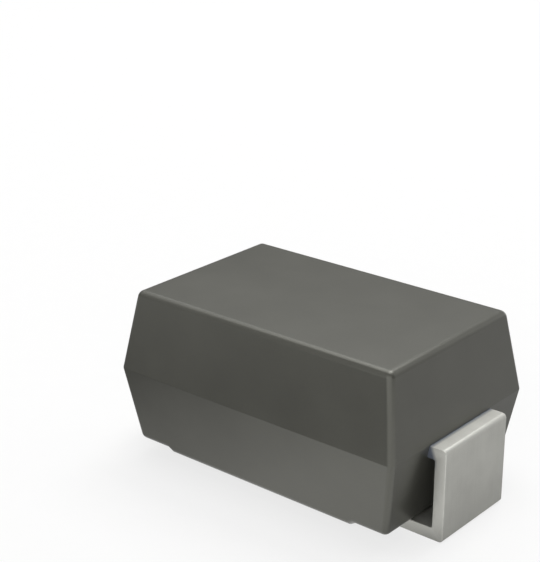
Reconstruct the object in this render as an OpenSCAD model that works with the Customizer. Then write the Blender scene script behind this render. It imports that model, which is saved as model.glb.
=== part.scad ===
// Zener diode in a moulded two-lead surface-mount package, in millimetres.
// X runs from lead to lead, Z is up, and Z = 0 is the plane that the two feet stand on.

/* [Moulding] */
// Length of the moulding at its parting line
body_length = 4.40; // [4.0:0.05:4.8]
// Width of the moulding at its parting line
body_width = 2.855; // [2.3:0.005:3.0]
// Height of the moulding above its parting line
upper_height = 1.085; // [0.8:0.005:1.3]
// Depth of the moulding from its parting line to the end recesses
lower_height = 1.055; // [0.8:0.005:1.3]
// Draft of the walls, in degrees from upright
draft_angle = 9; // [4:0.5:12]
// Radius of the rounded edges and corners
edge_radius = 0.09; // [0.03:0.005:0.12]
// Height of the upright band along the parting line
parting_band = 0.02; // [0.01:0.005:0.05]
// Height by which the centre pad stands below the end recesses
pad_height = 0.05; // [0.02:0.01:0.1]
// Run of the slanted step at each end of the centre pad
pad_step_run = 0.08; // [0.02:0.01:0.2]

/* [Leads] */
// Thickness of the lead strip
lead_thickness = 0.16; // [0.12:0.01:0.25]
// Width of the lead strip
lead_width = 1.34; // [1.2:0.01:1.7]
// Length of a foot, from its tip to the outer face of the riser
foot_length = 0.84; // [0.6:0.01:1.2]
// Outer radius of the two folds
fold_radius = 0.06; // [0.03:0.01:0.1]
// Inner radius of the two folds
crease_radius = 0.03; // [0.01:0.005:0.04]
// Drop of the lead's upper face below the parting line
lead_drop = 0.01; // [0:0.01:0.06]

/* [Die] */
// Side of the square die
die_side = 1.1; // [0.7:0.05:1.2]
// Thickness of the die
die_thickness = 0.26; // [0.18:0.01:0.36]
// Thickness of each solder layer
solder_thickness = 0.05; // [0.03:0.01:0.1]
// Distance of the solder's edge inside the die's edge
solder_inset = 0.04; // [0:0.01:0.15]
// Distance by which the inner pads reach past the die
pad_margin = 0.1; // [0.05:0.01:0.2]
// Slope of the jog between a tail and its inner pad, in degrees
jog_angle = 45; // [30:5:60]

/* [Clearances] */
// Gap between the end wall and the riser at the parting line
riser_gap = 0.08; // [0.05:0.01:0.3]
// Gap between a foot and the recess above it
foot_gap = 0.03; // [0.02:0.005:0.1]
// Gap between the tip of a foot and the step of the centre pad
foot_tip_gap = 0.055; // [0.02:0.005:0.2]

/* [Hidden] */
$fn = 32;

epoxy_colour = [0.30, 0.30, 0.28];
tin_colour = [0.76, 0.76, 0.74];
silicon_colour = [0.28, 0.30, 0.36];
solder_colour = [0.60, 0.61, 0.63];

// Heights above the plane of the feet
recess_z = lead_thickness + foot_gap;
parting_z = recess_z + lower_height;
lead_top_z = parting_z - lead_drop;
stack_z = lead_top_z - lead_thickness / 2;

// Distances along X from the middle
lead_reach = body_length / 2 + riser_gap + lead_thickness;
foot_tip_x = lead_reach - foot_length;
pad_root_x = foot_tip_x - foot_tip_gap;
pad_face_x = pad_root_x - pad_step_run;
inner_pad_x = die_side / 2 + pad_margin;
jog_x = inner_pad_x + lead_thickness;

// Rise or fall from a tail to its inner pad, which leaves room for the die and its solder
jog_rise = (die_thickness + 2 * solder_thickness + lead_thickness) / 2;
jog_run = jog_rise / tan(jog_angle);

// Shift along X between the two sides of the strip where it turns into the jog
jog_mitre = lead_thickness * tan(jog_angle / 2);

// One drafted half of the moulding, standing on the parting plane with its edges rounded
module drafted_half(height) {
    ball_z = height - edge_radius;
    ball_inset = (ball_z - parting_band / 2) * tan(draft_angle) + edge_radius / cos(draft_angle);
    hull()
        for (x = [-1, 1], y = [-1, 1]) {
            translate([x * (body_length / 2 - edge_radius), y * (body_width / 2 - edge_radius), 0])
                cylinder(r = edge_radius, h = parting_band / 2);
            translate([x * (body_length / 2 - ball_inset), y * (body_width / 2 - ball_inset), ball_z])
                sphere(r = edge_radius);
        }
}

// Side outline, in X and Z, extruded over a width that is centred on Y
module across(width) {
    rotate([90, 0, 0])
        linear_extrude(height = width, center = true)
            children();
}

// Slab that holds the centre pad, measured down from the parting plane
module pad_slab() {
    across(body_width)
        polygon([
            [-pad_root_x, 0],
            [pad_root_x, 0],
            [pad_root_x, lower_height],
            [pad_face_x, lower_height + pad_height],
            [-pad_face_x, lower_height + pad_height],
            [-pad_root_x, lower_height]
        ]);
}

// The whole moulding, before the pieces inside it take their room
module moulding_blank() {
    translate([0, 0, parting_z]) {
        drafted_half(upper_height);
        mirror([0, 0, 1]) {
            drafted_half(lower_height);
            intersection() {
                drafted_half(lower_height + pad_height);
                pad_slab();
            }
        }
    }
}

// Outline of a block that ends at face_x, with its two corners there rounded
module folded_block(start_x, face_x, low_z, high_z, radius) {
    translate([start_x, low_z])
        square([face_x - radius - start_x, high_z - low_z]);
    translate([start_x, low_z + radius])
        square([face_x - start_x, high_z - low_z - 2 * radius]);
    for (z = [low_z + radius, high_z - radius])
        translate([face_x - radius, z])
            circle(r = radius);
}

// Outline of the part of a lead that shows: foot, riser and the start of the tail
module folded_strip() {
    difference() {
        folded_block(foot_tip_x, lead_reach, 0, lead_top_z, fold_radius);
        folded_block(
            foot_tip_x - foot_length, lead_reach - lead_thickness,
            lead_thickness, lead_top_z - lead_thickness, crease_radius
        );
    }
}

// Outline of the part of a lead inside the moulding: tail, jog and inner pad.
// The jog goes up for side = 1 and down for side = -1.
module buried_strip(side) {
    pad_top_z = lead_top_z + side * jog_rise;
    upper_edge = [
        [lead_reach - lead_thickness, lead_top_z],
        [jog_x + jog_run, lead_top_z],
        [jog_x, pad_top_z],
        [-inner_pad_x, pad_top_z]
    ];
    lower_edge = [
        [-inner_pad_x, pad_top_z - lead_thickness],
        [jog_x - side * jog_mitre, pad_top_z - lead_thickness],
        [jog_x + jog_run - side * jog_mitre, lead_top_z - lead_thickness],
        [lead_reach - lead_thickness, lead_top_z - lead_thickness]
    ];
    polygon(concat(upper_edge, lower_edge));
}

// A whole lead at the +X end, folded from one strip
module lead(side) {
    color(tin_colour)
        across(lead_width) {
            folded_strip();
            buried_strip(side);
        }
}

// A square layer of the stack between the inner pads, centred at the given height
module layer(side_length, thickness, middle_z) {
    translate([0, 0, middle_z])
        cube([side_length, side_length, thickness], center = true);
}

// A solder layer, above the die for side = 1 and below it for side = -1
module solder(side) {
    color(solder_colour)
        layer(
            die_side - 2 * solder_inset, solder_thickness,
            stack_z + side * (die_thickness + solder_thickness) / 2
        );
}

module anode_lead() {
    lead(1);
}

module cathode_lead() {
    mirror([1, 0, 0])
        lead(-1);
}

module silicon_die() {
    color(silicon_colour)
        layer(die_side, die_thickness, stack_z);
}

module anode_solder() {
    solder(1);
}

module cathode_solder() {
    solder(-1);
}

// The moulding, cast around the leads, the die and the solder
module moulded_body() {
    color(epoxy_colour)
        difference() {
            moulding_blank();
            cathode_lead();
            anode_lead();
            silicon_die();
            cathode_solder();
            anode_solder();
        }
}

moulded_body();
cathode_lead();
anode_lead();
silicon_die();
cathode_solder();
anode_solder();
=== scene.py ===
import math

import bmesh
import bpy
from mathutils import Matrix, Vector


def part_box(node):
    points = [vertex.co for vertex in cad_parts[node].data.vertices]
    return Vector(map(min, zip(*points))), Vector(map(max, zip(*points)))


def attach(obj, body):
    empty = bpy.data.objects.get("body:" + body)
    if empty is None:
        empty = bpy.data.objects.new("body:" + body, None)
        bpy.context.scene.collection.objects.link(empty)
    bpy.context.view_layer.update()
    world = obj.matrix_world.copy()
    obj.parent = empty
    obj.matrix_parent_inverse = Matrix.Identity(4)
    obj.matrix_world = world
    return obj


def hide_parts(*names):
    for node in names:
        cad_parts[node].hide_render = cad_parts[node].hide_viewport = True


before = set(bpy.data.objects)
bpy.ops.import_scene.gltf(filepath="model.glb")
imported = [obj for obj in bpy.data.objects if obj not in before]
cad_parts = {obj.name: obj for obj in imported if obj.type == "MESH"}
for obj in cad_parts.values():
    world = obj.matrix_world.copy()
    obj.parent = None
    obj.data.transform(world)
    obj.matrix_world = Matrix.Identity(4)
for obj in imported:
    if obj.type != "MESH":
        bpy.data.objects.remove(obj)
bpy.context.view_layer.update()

# Sizes are in millimetres, and finished meshes are scaled to metres.
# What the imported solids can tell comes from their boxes.
MM = 0.001


def node_box(name):
    """Lowest and highest corner of a node, in millimetres."""
    low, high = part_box(name)
    return low / MM, high / MM


body_low, body_high = node_box("moulded_body")
anode_low, anode_high = node_box("anode_lead")
cathode_high = node_box("cathode_lead")[1]
solder_high = node_box("anode_solder")[1]
die_low, die_high = node_box("silicon_die")

# The leads
LEAD_REACH = anode_high.x
LEAD_HALF_WIDTH = anode_high.y
LEAD_TOP_Z = cathode_high.z
LEAD_THICKNESS = anode_high.z - solder_high.z
LEAD_UNDER_Z = LEAD_TOP_Z - LEAD_THICKNESS
INNER_PAD_X = -anode_low.x
JOG_RISE = anode_high.z - cathode_high.z
JOG_X = INNER_PAD_X + LEAD_THICKNESS
JOG_ANGLE = math.radians(45)
FOOT_LENGTH = 0.84
FOOT_TIP_X = LEAD_REACH - FOOT_LENGTH
FOLD_RADIUS = 0.06
CREASE_RADIUS = 0.03
FOLD_STEPS = 10
STRIP_EDGE = 0.01
STRIP_EDGE_STEPS = 4

# The moulding
HALF_LENGTH = body_high.x
HALF_WIDTH = body_high.y
TOP_Z = body_high.z
LEAD_DROP = 0.01
PARTING_Z = LEAD_TOP_Z + LEAD_DROP
PARTING_BAND = 0.02
DRAFT_SLOPE = math.tan(math.radians(9))
PAD_Z = body_low.z
PAD_HEIGHT = 0.05
RECESS_Z = PAD_Z + PAD_HEIGHT
FOOT_TIP_GAP = 0.055
PAD_STEP_RUN = 0.08
PAD_ROOT_X = FOOT_TIP_X - FOOT_TIP_GAP
PAD_FACE_X = PAD_ROOT_X - PAD_STEP_RUN
EDGE_SETBACK = 0.083
EDGE_STEPS = 12

# Edges of the moulding that turn by more than the first angle are rounded.
# Edges of a finished piece that turn by more than the second angle shade as sharp.
ROUNDED_ABOVE = math.radians(50)
SHARP_ABOVE = math.radians(40)

# Painted shade on a lead where it leaves the moulding: a dark bluish colour, darkest at the wall.
# On the upper face it fades out over a reach from the wall. Below that face it reaches further out, by a
# slope times the depth. It ends below the tail, between the two heights.
WALL_SHADE_REACH = 0.06
WALL_SHADE_SLOPE = 0.35
WALL_SHADE_HIGH_Z = PARTING_Z - 1.5 * LEAD_THICKNESS
WALL_SHADE_LOW_Z = PARTING_Z - 2 * LEAD_THICKNESS
WALL_SHADE_COLOUR = (0.17, 0.19, 0.23, 1.0)

# Most values of a noise lie between these two
NOISE_LOW = 0.3
NOISE_HIGH = 0.7

# The photograph's camera, solved from the part's edges, with angles in degrees. It looks at a place that lies
# VIEW_RIGHT to the right and VIEW_UP up from the middle of the parting plane.
VIEW_AZIMUTH = 39.95
VIEW_ELEVATION = 20.91
VIEW_DISTANCE = 19.068
VIEW_RIGHT = -0.6293
VIEW_UP = 1.2548
LENS_MM = 93.67
SENSOR_MM = 36.0

# The floor, and the glow that the camera sees in it besides the light that falls on it
FLOOR_HALF = 400.0
FLOOR_DROP = 0.001
FLOOR_GLOW = 0.76

# Painted light and shadow on the floor, seen only in gloss: the brightness at places across the view,
# from the part's middle to the right
MIRRORED_HALF = 40.0
PAINTED_FLOOR_LIGHT_ACROSS = (
    (-18.0, 0.55),
    (-10.0, 0.05),
    (-4.2, 0.0),
    (-0.8, 1.0),
    (0.4, 1.0),
    (1.2, 0.21),
    (5.0, 0.38),
)

# A painted bright wedge of light on that floor, which points at the near corner. It brightens from
# FRONT_START to FRONT_END.
FRONT_AZIMUTH = 55
FRONT_SLOPE = 0.5
FRONT_START = 2.2
FRONT_END = 2.55
PAINTED_WEDGE_LIGHT = 0.90

# Soft panels in rings on a dome round the part, with one overhead. The brightness is listed by elevation
# and azimuth, in degrees, and 1 is white paper. The widths are listed by elevation.
PANELS = {
    12: {0: 1.50, 45: 1.20, 90: 0.20, 135: 0.45, 180: 1.60, 315: 0.40},
    37: {0: 1.05, 45: 1.10, 135: 0.70, 180: 0.20, 225: 1.05, 270: 0.70, 315: 0.40},
    62: {135: 1.10, 180: 6.40, 225: 2.65, 270: 1.90},
    90: {0: 3.40},
}
PANEL_WIDTHS = {12: 97.2, 37: 79.4, 62: 46.7, 90: 63.9}
PANEL_HEIGHT = 53.2
PANEL_DISTANCE = 120.0


def direction(azimuth, elevation):
    """Unit vector towards a place seen from the part. Azimuth 0 is -Y and 90 is +X, in degrees."""
    turn = math.radians(azimuth)
    rise = math.radians(elevation)
    return Vector((math.sin(turn) * math.cos(rise), -math.cos(turn) * math.cos(rise), math.sin(rise)))


# Node materials


class Nodes:
    """A material's node tree, with short calls to add and join nodes."""

    def __init__(self, name):
        self.material = bpy.data.materials.new(name)
        self.material.use_nodes = True
        self.tree = self.material.node_tree
        self.tree.nodes.clear()
        self.output = self.add("ShaderNodeOutputMaterial")

    def add(self, kind, **settings):
        """A new node with the given settings."""
        node = self.tree.nodes.new(kind)
        for key, value in settings.items():
            setattr(node, key, value)
        return node

    def join(self, source, target):
        """Links an output to an input."""
        self.tree.links.new(source, target)

    def place(self, stretch=(1, 1, 1)):
        """Object coordinates in millimetres, stretched along each axis."""
        coordinates = self.add("ShaderNodeTexCoord")
        scaled = self.add("ShaderNodeMapping")
        scaled.inputs["Scale"].default_value = Vector(stretch) / MM
        self.join(coordinates.outputs["Object"], scaled.inputs["Vector"])
        return scaled.outputs["Vector"]

    def along(self, azimuth):
        """Millimetres from the middle along a level direction."""
        node = self.add("ShaderNodeVectorMath", operation="DOT_PRODUCT")
        node.inputs[1].default_value = direction(azimuth, 0)
        self.join(self.place(), node.inputs[0])
        return node.outputs["Value"]

    def combine(self, operation, first, second=0.0):
        """An operation on one or two numbers. The second is a socket or a plain number."""
        node = self.add("ShaderNodeMath", operation=operation)
        self.join(first, node.inputs[0])
        if isinstance(second, float):
            node.inputs[1].default_value = second
        else:
            self.join(second, node.inputs[1])
        return node.outputs["Value"]

    def blend(self, first, second, share):
        """Two numbers mixed, with the given share of the second."""
        node = self.add("ShaderNodeMix", data_type="FLOAT")
        node.inputs["Factor"].default_value = share
        self.join(first, node.inputs["A"])
        self.join(second, node.inputs["B"])
        return node.outputs["Result"]

    def noise(self, place, per_mm, detail=3.0, roughness=0.55):
        """Noise with about per_mm features in a millimetre."""
        node = self.add("ShaderNodeTexNoise")
        node.inputs["Scale"].default_value = per_mm
        node.inputs["Detail"].default_value = detail
        node.inputs["Roughness"].default_value = roughness
        self.join(place, node.inputs["Vector"])
        return node.outputs["Fac"]

    def span(self, value, at_start, at_end, start=NOISE_LOW, end=NOISE_HIGH):
        """A number that goes from at_start to at_end as the value goes from start to end."""
        node = self.add("ShaderNodeMapRange")
        node.inputs["From Min"].default_value = start
        node.inputs["From Max"].default_value = end
        node.inputs["To Min"].default_value = at_start
        node.inputs["To Max"].default_value = at_end
        self.join(value, node.inputs["Value"])
        return node.outputs["Result"]

    def ramp(self, value, stops):
        """Colours along a value from 0 to 1: each stop is a position and a colour."""
        node = self.add("ShaderNodeValToRGB")
        elements = node.color_ramp.elements
        while len(elements) < len(stops):
            elements.new(0.5)
        for element, (position, colour) in zip(elements, stops):
            element.position = position
            element.color = (*colour, 1.0)
        self.join(value, node.inputs["Fac"])
        return node.outputs["Color"]

    def bump(self, height, depth_mm, strength, before=None):
        """A normal bent by a height, on top of the normal of an earlier bump."""
        node = self.add("ShaderNodeBump")
        node.inputs["Strength"].default_value = strength
        node.inputs["Distance"].default_value = depth_mm * MM
        self.join(height, node.inputs["Height"])
        if before is not None:
            self.join(before, node.inputs["Normal"])
        return node.outputs["Normal"]

    def principled(self, **values):
        """The material's main shader, with the given values on its sockets."""
        node = self.add("ShaderNodeBsdfPrincipled")
        for key, value in values.items():
            node.inputs[key.replace("_", " ")].default_value = value
        self.join(node.outputs["BSDF"], self.output.inputs["Surface"])
        return node


def epoxy_material():
    """Dark warm grey moulding compound: satin, with fine filler grain and a faint flow mottle."""
    nodes = Nodes("epoxy")
    place = nodes.place()
    mottle = nodes.noise(place, per_mm=1.3, detail=2.0)
    grain = nodes.noise(place, per_mm=34.0, roughness=0.6)
    shader = nodes.principled(Metallic=0.0, IOR=1.74, Specular_Tint=(1.0, 1.0, 0.9, 1.0))
    colour = nodes.ramp(nodes.blend(mottle, grain, share=0.25), [
        (0.30, (0.063, 0.063, 0.054)),
        (0.50, (0.071, 0.071, 0.061)),
        (0.72, (0.080, 0.080, 0.069)),
    ])
    nodes.join(colour, shader.inputs["Base Color"])
    nodes.join(nodes.span(grain, at_start=0.285, at_end=0.335), shader.inputs["Roughness"])
    nodes.join(nodes.bump(grain, depth_mm=0.0002, strength=0.15), shader.inputs["Normal"])
    return nodes.material


def with_painted_wall_shade(nodes, colour):
    """The colour of a lead, with painted shade in a dark bluish colour where its tail leaves the moulding."""
    place = nodes.add("ShaderNodeSeparateXYZ")
    nodes.join(nodes.place(), place.inputs["Vector"])
    height = place.outputs["Z"]
    depth = nodes.span(height, at_start=LEAD_THICKNESS, at_end=0.0, start=LEAD_UNDER_Z, end=LEAD_TOP_Z)
    spread = nodes.combine("MULTIPLY", depth, WALL_SHADE_SLOPE)
    outward = nodes.combine("SUBTRACT", nodes.combine("ABSOLUTE", place.outputs["X"]), spread)
    near_wall = nodes.span(
        outward, at_start=1.0, at_end=0.0, start=HALF_LENGTH, end=HALF_LENGTH + WALL_SHADE_REACH,
    )
    on_tail = nodes.span(height, at_start=0.0, at_end=1.0, start=WALL_SHADE_LOW_Z, end=WALL_SHADE_HIGH_Z)
    mix = nodes.add("ShaderNodeMix", data_type="RGBA")
    nodes.join(nodes.combine("MULTIPLY", near_wall, on_tail), mix.inputs["Factor"])
    nodes.join(colour, mix.inputs["A"])
    mix.inputs["B"].default_value = WALL_SHADE_COLOUR
    return mix.outputs["Result"]


def tin_material():
    """Matte tin plating on rolled strip: fine grain, with faint rolling lines along the strip."""
    nodes = Nodes("tin plating")
    grain = nodes.noise(nodes.place(), per_mm=45.0, detail=4.0, roughness=0.65)
    lines = nodes.noise(nodes.place(stretch=(0.6, 60.0, 0.6)), per_mm=1.0, roughness=0.6)
    cloud = nodes.noise(nodes.place(), per_mm=2.2, detail=2.0)
    shader = nodes.principled(Metallic=1.0)
    colour = nodes.ramp(nodes.blend(cloud, lines, share=0.25), [
        (0.30, (0.590, 0.589, 0.554)),
        (0.50, (0.632, 0.631, 0.594)),
        (0.72, (0.675, 0.674, 0.634)),
    ])
    # The lead's colour, with painted shade where it leaves the moulding
    nodes.join(with_painted_wall_shade(nodes, colour), shader.inputs["Base Color"])
    nodes.join(nodes.span(grain, at_start=0.61, at_end=0.69), shader.inputs["Roughness"])
    rolled = nodes.bump(lines, depth_mm=0.0008, strength=0.2)
    nodes.join(nodes.bump(grain, depth_mm=0.0008, strength=0.4, before=rolled), shader.inputs["Normal"])
    return nodes.material


def silicon_material():
    """Lapped silicon: dark blue grey with fine lapping lines."""
    nodes = Nodes("silicon")
    lapping = nodes.noise(nodes.place(stretch=(60.0, 2.0, 2.0)), per_mm=1.0)
    shader = nodes.principled(Metallic=0.9)
    colour = nodes.ramp(lapping, [
        (NOISE_LOW, (0.13, 0.14, 0.18)),
        (NOISE_HIGH, (0.20, 0.21, 0.26)),
    ])
    nodes.join(colour, shader.inputs["Base Color"])
    nodes.join(nodes.span(lapping, at_start=0.22, at_end=0.34), shader.inputs["Roughness"])
    return nodes.material


def solder_material():
    """Reflowed solder: soft grey metal with a coarse frosted grain."""
    nodes = Nodes("solder")
    frost = nodes.noise(nodes.place(), per_mm=18.0, detail=4.0)
    shader = nodes.principled(Metallic=1.0)
    colour = nodes.ramp(frost, [
        (NOISE_LOW, (0.46, 0.47, 0.49)),
        (NOISE_HIGH, (0.60, 0.61, 0.63)),
    ])
    nodes.join(colour, shader.inputs["Base Color"])
    nodes.join(nodes.span(frost, at_start=0.28, at_end=0.46), shader.inputs["Roughness"])
    nodes.join(nodes.bump(frost, depth_mm=0.002, strength=0.5), shader.inputs["Normal"])
    return nodes.material


def painted_floor_light(nodes):
    """Painted light and shadow on the floor, seen only in gloss: the brighter of the levels across the view
    and the wedge.
    """
    across = nodes.span(
        nodes.along(VIEW_AZIMUTH + 90), at_start=0.0, at_end=1.0, start=-MIRRORED_HALF, end=MIRRORED_HALF,
    )
    stops = [(0.5 + place / MIRRORED_HALF / 2, (level, level, level)) for place, level in PAINTED_FLOOR_LIGHT_ACROSS]
    levels = nodes.ramp(across, stops)
    aside = nodes.combine("ABSOLUTE", nodes.along(FRONT_AZIMUTH + 90))
    receding = nodes.combine("MULTIPLY", aside, FRONT_SLOPE)
    ahead = nodes.combine("SUBTRACT", nodes.along(FRONT_AZIMUTH), receding)
    # A painted wedge of light on the floor, seen only in gloss
    wedge = nodes.span(ahead, at_start=0.0, at_end=PAINTED_WEDGE_LIGHT, start=FRONT_START, end=FRONT_END)
    return nodes.combine("MAXIMUM", levels, wedge)


def floor_material():
    """White studio paper with a barely visible tooth. Part of its white only the camera and gloss see, and in
    gloss it carries painted light and shadow.
    """
    nodes = Nodes("studio paper")
    tooth = nodes.noise(nodes.place(), per_mm=3.0, detail=2.0)
    paper = nodes.add("ShaderNodeBsdfDiffuse")
    colour = nodes.ramp(tooth, [
        (NOISE_LOW, (0.198, 0.198, 0.197)),
        (NOISE_HIGH, (0.202, 0.202, 0.201)),
    ])
    nodes.join(colour, paper.inputs["Color"])
    rays = nodes.add("ShaderNodeLightPath")
    mirrored = nodes.combine("MAXIMUM", rays.outputs["Is Glossy Ray"], rays.outputs["Is Transmission Ray"])
    # Gloss sees the painted light and shadow on the floor
    gloss = nodes.combine("MULTIPLY", mirrored, painted_floor_light(nodes))
    seen = nodes.combine("MULTIPLY", rays.outputs["Is Camera Ray"], FLOOR_GLOW)
    glow = nodes.add("ShaderNodeEmission")
    nodes.join(nodes.combine("MAXIMUM", seen, gloss), glow.inputs["Strength"])
    both = nodes.add("ShaderNodeAddShader")
    nodes.join(paper.outputs["BSDF"], both.inputs[0])
    nodes.join(glow.outputs["Emission"], both.inputs[1])
    nodes.join(both.outputs["Shader"], nodes.output.inputs["Surface"])
    return nodes.material


# Meshes


def to_object(name, mesh_data, material):
    """A new object, in metres, from a bmesh in millimetres."""
    bmesh.ops.recalc_face_normals(mesh_data, faces=mesh_data.faces)
    bmesh.ops.scale(mesh_data, vec=(MM, MM, MM), verts=mesh_data.verts)
    mesh = bpy.data.meshes.new(name)
    mesh_data.to_mesh(mesh)
    mesh_data.free()
    mesh.materials.append(material)
    thing = bpy.data.objects.new(name, mesh)
    bpy.context.scene.collection.objects.link(thing)
    return thing


def shade(thing):
    """Smooth shading that keeps the broad faces flat."""
    thing.data.shade_smooth()
    thing.data.set_sharp_from_angle(angle=SHARP_ABOVE)
    normals = thing.modifiers.new("flat faces", "WEIGHTED_NORMAL")
    normals.keep_sharp = True


def round_edges(mesh_data, edges, setback, steps):
    """Rounds edges, with the rounding starting at the setback from each edge."""
    bmesh.ops.bevel(
        mesh_data, geom=edges, affect="EDGES", offset_type="OFFSET", offset=setback,
        segments=steps, profile=0.5, clamp_overlap=True,
    )


def half_size(z):
    """Half length and half width of the sharp-edged moulding at a height."""
    away = max(abs(z - PARTING_Z) - PARTING_BAND / 2, 0.0)
    return HALF_LENGTH - away * DRAFT_SLOPE, HALF_WIDTH - away * DRAFT_SLOPE


def moulding_mesh():
    """The drafted block with its centre pad and end recesses, and its outer edges rounded."""
    mesh_data = bmesh.new()
    corners = {}

    def corner(x, side, z):
        """The vertex on a side wall, side = 1 or -1, at x and height z."""
        key = (round(x, 6), side, round(z, 6))
        if key not in corners:
            corners[key] = mesh_data.verts.new((x, side * half_size(z)[1], z))
        return corners[key]

    # The outline of a side wall: down its right end, and along its underside from right to left
    upper_z = PARTING_Z + PARTING_BAND / 2
    lower_z = PARTING_Z - PARTING_BAND / 2
    top_x = half_size(TOP_Z)[0]
    end_x = half_size(RECESS_Z)[0]
    levels = [(top_x, TOP_Z), (HALF_LENGTH, upper_z), (HALF_LENGTH, lower_z)]
    underside = [
        (end_x, RECESS_Z), (PAD_ROOT_X, RECESS_Z), (PAD_FACE_X, PAD_Z),
        (-PAD_FACE_X, PAD_Z), (-PAD_ROOT_X, RECESS_Z), (-end_x, RECESS_Z),
    ]

    # The two side walls: upper, parting band and lower
    for side in (-1, 1):
        for (upper_x, high), (lower_x, low) in zip(levels, levels[1:]):
            mesh_data.faces.new([
                corner(-upper_x, side, high), corner(upper_x, side, high),
                corner(lower_x, side, low), corner(-lower_x, side, low),
            ])
        mesh_data.faces.new(
            [corner(-HALF_LENGTH, side, lower_z), corner(HALF_LENGTH, side, lower_z)]
            + [corner(x, side, z) for x, z in underside]
        )

    # The faces that run across from side to side: top, ends and underside
    right_end = levels + underside[:1]
    left_end = [(-x, z) for x, z in right_end]
    top_edge = [(-top_x, TOP_Z), (top_x, TOP_Z)]
    for run in (top_edge, right_end, left_end, underside):
        for (x0, z0), (x1, z1) in zip(run, run[1:]):
            mesh_data.faces.new([
                corner(x0, -1, z0), corner(x1, -1, z1), corner(x1, 1, z1), corner(x0, 1, z0),
            ])
    bmesh.ops.recalc_face_normals(mesh_data, faces=mesh_data.faces)

    # All edges are rounded but the parting lines and the creases of the centre pad's steps
    outer = [edge for edge in mesh_data.edges if edge.calc_face_angle() > ROUNDED_ABOVE]
    round_edges(mesh_data, outer, EDGE_SETBACK, EDGE_STEPS)
    return mesh_data


def arc(centre_x, centre_z, radius, start, end):
    """Points along the arc of a fold, angles in degrees from +X towards +Z."""
    points = []
    for step in range(FOLD_STEPS + 1):
        angle = math.radians(start + (end - start) * step / FOLD_STEPS)
        points.append((centre_x + radius * math.cos(angle), centre_z + radius * math.sin(angle)))
    return points


def lead_outline(jog):
    """Side outline of a lead at the +X end, whose jog goes up for jog = 1 and down for jog = -1."""
    outer_x = LEAD_REACH - FOLD_RADIUS
    inner_x = LEAD_REACH - LEAD_THICKNESS - CREASE_RADIUS
    pad_top_z = LEAD_TOP_Z + jog * JOG_RISE
    pad_under_z = pad_top_z - LEAD_THICKNESS
    jog_run = JOG_RISE / math.tan(JOG_ANGLE)
    mitre = jog * LEAD_THICKNESS * math.tan(JOG_ANGLE / 2)
    outer_face = (
        [(FOOT_TIP_X, 0.0)]
        + arc(outer_x, FOLD_RADIUS, FOLD_RADIUS, -90, 0)
        + arc(outer_x, LEAD_TOP_Z - FOLD_RADIUS, FOLD_RADIUS, 0, 90)
        + [(JOG_X + jog_run, LEAD_TOP_Z), (JOG_X, pad_top_z), (-INNER_PAD_X, pad_top_z)]
    )
    inner_face = (
        [(-INNER_PAD_X, pad_under_z), (JOG_X - mitre, pad_under_z), (JOG_X + jog_run - mitre, LEAD_UNDER_Z)]
        + arc(inner_x, LEAD_UNDER_Z - CREASE_RADIUS, CREASE_RADIUS, 90, 0)
        + arc(inner_x, LEAD_THICKNESS + CREASE_RADIUS, CREASE_RADIUS, 0, -90)
        + [(FOOT_TIP_X, LEAD_THICKNESS)]
    )
    return outer_face + inner_face


def lead_mesh(end, edge):
    """A lead folded from one strip, with its edges rounded by the setback edge, or sharp if that is 0.

    The anode lead is at the +X end, for end = 1, and its jog goes up.
    The cathode lead is at the -X end, for end = -1, and its jog goes down.
    """
    mesh_data = bmesh.new()
    outline = lead_outline(jog=end)
    near = [mesh_data.verts.new((end * x, -LEAD_HALF_WIDTH, z)) for x, z in outline]
    far = [mesh_data.verts.new((end * x, LEAD_HALF_WIDTH, z)) for x, z in outline]
    mesh_data.faces.new(near)
    mesh_data.faces.new(list(reversed(far)))
    for i in range(len(near)):
        j = (i + 1) % len(near)
        mesh_data.faces.new([near[i], far[i], far[j], near[j]])
    bmesh.ops.recalc_face_normals(mesh_data, faces=mesh_data.faces)
    if edge:
        sides = set(near), set(far)
        rims = [rim for rim in mesh_data.edges if any(set(rim.verts) <= side for side in sides)]
        round_edges(mesh_data, rims, edge, STRIP_EDGE_STEPS)
    return mesh_data


def stack_mesh():
    """The room for the die and its solder. It reaches to the middle of both inner pads."""
    mesh_data = bmesh.new()
    bmesh.ops.create_cube(mesh_data, size=1.0)
    size = die_high - die_low
    bmesh.ops.scale(mesh_data, vec=(size.x, size.y, 2 * JOG_RISE), verts=mesh_data.verts)
    bmesh.ops.translate(mesh_data, vec=(die_high + die_low) / 2, verts=mesh_data.verts)
    return mesh_data


def cut(thing, *cutters):
    """Takes the cutters out of a piece, then removes them."""
    for cutter in cutters:
        hollow = thing.modifiers.new("room", "BOOLEAN")
        hollow.operation = "DIFFERENCE"
        hollow.solver = "EXACT"
        hollow.object = cutter
    bpy.context.view_layer.update()
    evaluated = thing.evaluated_get(bpy.context.evaluated_depsgraph_get())
    hollowed = bpy.data.meshes.new_from_object(evaluated)
    thing.modifiers.clear()
    solid = thing.data
    thing.data = hollowed
    bpy.data.meshes.remove(solid)
    for cutter in cutters:
        bpy.data.objects.remove(cutter)


# Floor, light and camera


def floor():
    """A wide level sheet just below the feet."""
    mesh_data = bmesh.new()
    bmesh.ops.create_grid(mesh_data, x_segments=1, y_segments=1, size=FLOOR_HALF)
    bmesh.ops.translate(mesh_data, vec=(0, 0, -FLOOR_DROP), verts=mesh_data.verts)
    thing = to_object("floor", mesh_data, floor_material())


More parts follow.
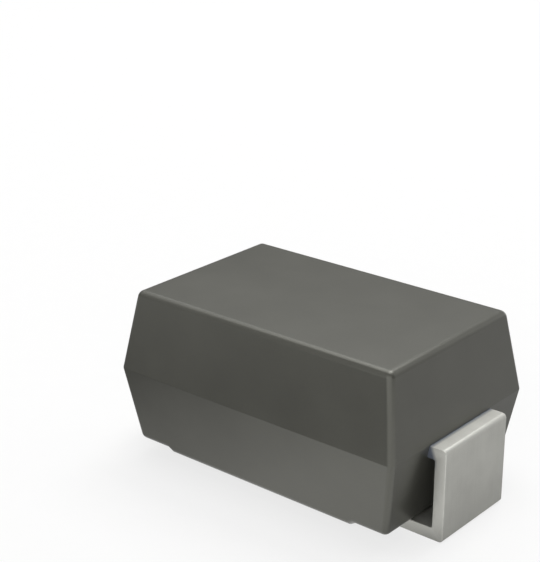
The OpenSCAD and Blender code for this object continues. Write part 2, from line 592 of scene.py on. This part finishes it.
def surroundings():
    """A world as pale as the far floor, which the camera sees in low views. It gives no light."""
    world = bpy.data.worlds.new("studio")
    world.use_nodes = True
    tree = world.node_tree
    background = tree.nodes["Background"]
    background.inputs["Color"].default_value = (1.0, 1.0, 1.0, 1.0)
    rays = tree.nodes.new("ShaderNodeLightPath")
    seen = tree.nodes.new("ShaderNodeMath")
    seen.operation = "MULTIPLY"
    seen.inputs[1].default_value = FLOOR_GLOW
    tree.links.new(rays.outputs["Is Camera Ray"], seen.inputs[0])
    tree.links.new(seen.outputs["Value"], background.inputs["Strength"])
    bpy.context.scene.world = world


def panel(azimuth, elevation, brightness):
    """A rectangular light that faces the part."""
    light = bpy.data.lights.new(f"panel_{azimuth}_{elevation}", "AREA")
    light.shape = "RECTANGLE"
    light.size = PANEL_WIDTHS[elevation] * MM
    light.size_y = PANEL_HEIGHT * MM
    light.energy = brightness * math.pi * light.size * light.size_y
    thing = bpy.data.objects.new(light.name, light)
    towards = direction(azimuth, elevation)
    thing.location = towards * PANEL_DISTANCE * MM
    thing.rotation_mode = "QUATERNION"
    thing.rotation_quaternion = towards.to_track_quat("Z", "Y")
    bpy.context.scene.collection.objects.link(thing)


def camera():
    """The photograph's view of the part."""
    data = bpy.data.cameras.new("camera")
    data.lens = LENS_MM
    data.sensor_width = SENSOR_MM
    data.clip_start = MM
    data.clip_end = 4 * FLOOR_HALF * MM
    thing = bpy.data.objects.new("camera", data)
    back = direction(VIEW_AZIMUTH, VIEW_ELEVATION)
    right = direction(VIEW_AZIMUTH + 90, 0)
    up = back.cross(right)
    place = Vector((0, 0, PARTING_Z)) + right * VIEW_RIGHT + up * VIEW_UP + back * VIEW_DISTANCE
    thing.matrix_world = Matrix.Translation(place * MM) @ Matrix((right, up, back)).transposed().to_4x4()
    bpy.context.scene.collection.objects.link(thing)
    bpy.context.scene.camera = thing


epoxy = epoxy_material()
tin = tin_material()
silicon = silicon_material()
solder = solder_material()

# The moulding, with room for the leads, the die and the solder
body = to_object("diode_body", moulding_mesh(), epoxy)
cut(
    body,
    to_object("room_anode", lead_mesh(end=1, edge=0), epoxy),
    to_object("room_cathode", lead_mesh(end=-1, edge=0), epoxy),
    to_object("room_stack", stack_mesh(), epoxy),
)
shade(body)
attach(body, "root")
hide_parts("moulded_body")

# The two leads
for name, end in (("anode", 1), ("cathode", -1)):
    lead = to_object(f"folded_{name}_lead", lead_mesh(end, edge=STRIP_EDGE), tin)
    shade(lead)
    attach(lead, "root")
    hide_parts(f"{name}_lead")

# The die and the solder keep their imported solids
for node, material in (("silicon_die", silicon), ("anode_solder", solder), ("cathode_solder", solder)):
    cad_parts[node].material_slots[0].material = material

floor()
surroundings()
for elevation, ring in PANELS.items():
    for azimuth, brightness in ring.items():
        panel(azimuth, elevation, brightness)
camera()
bpy.context.scene.view_settings.view_transform = "Standard"
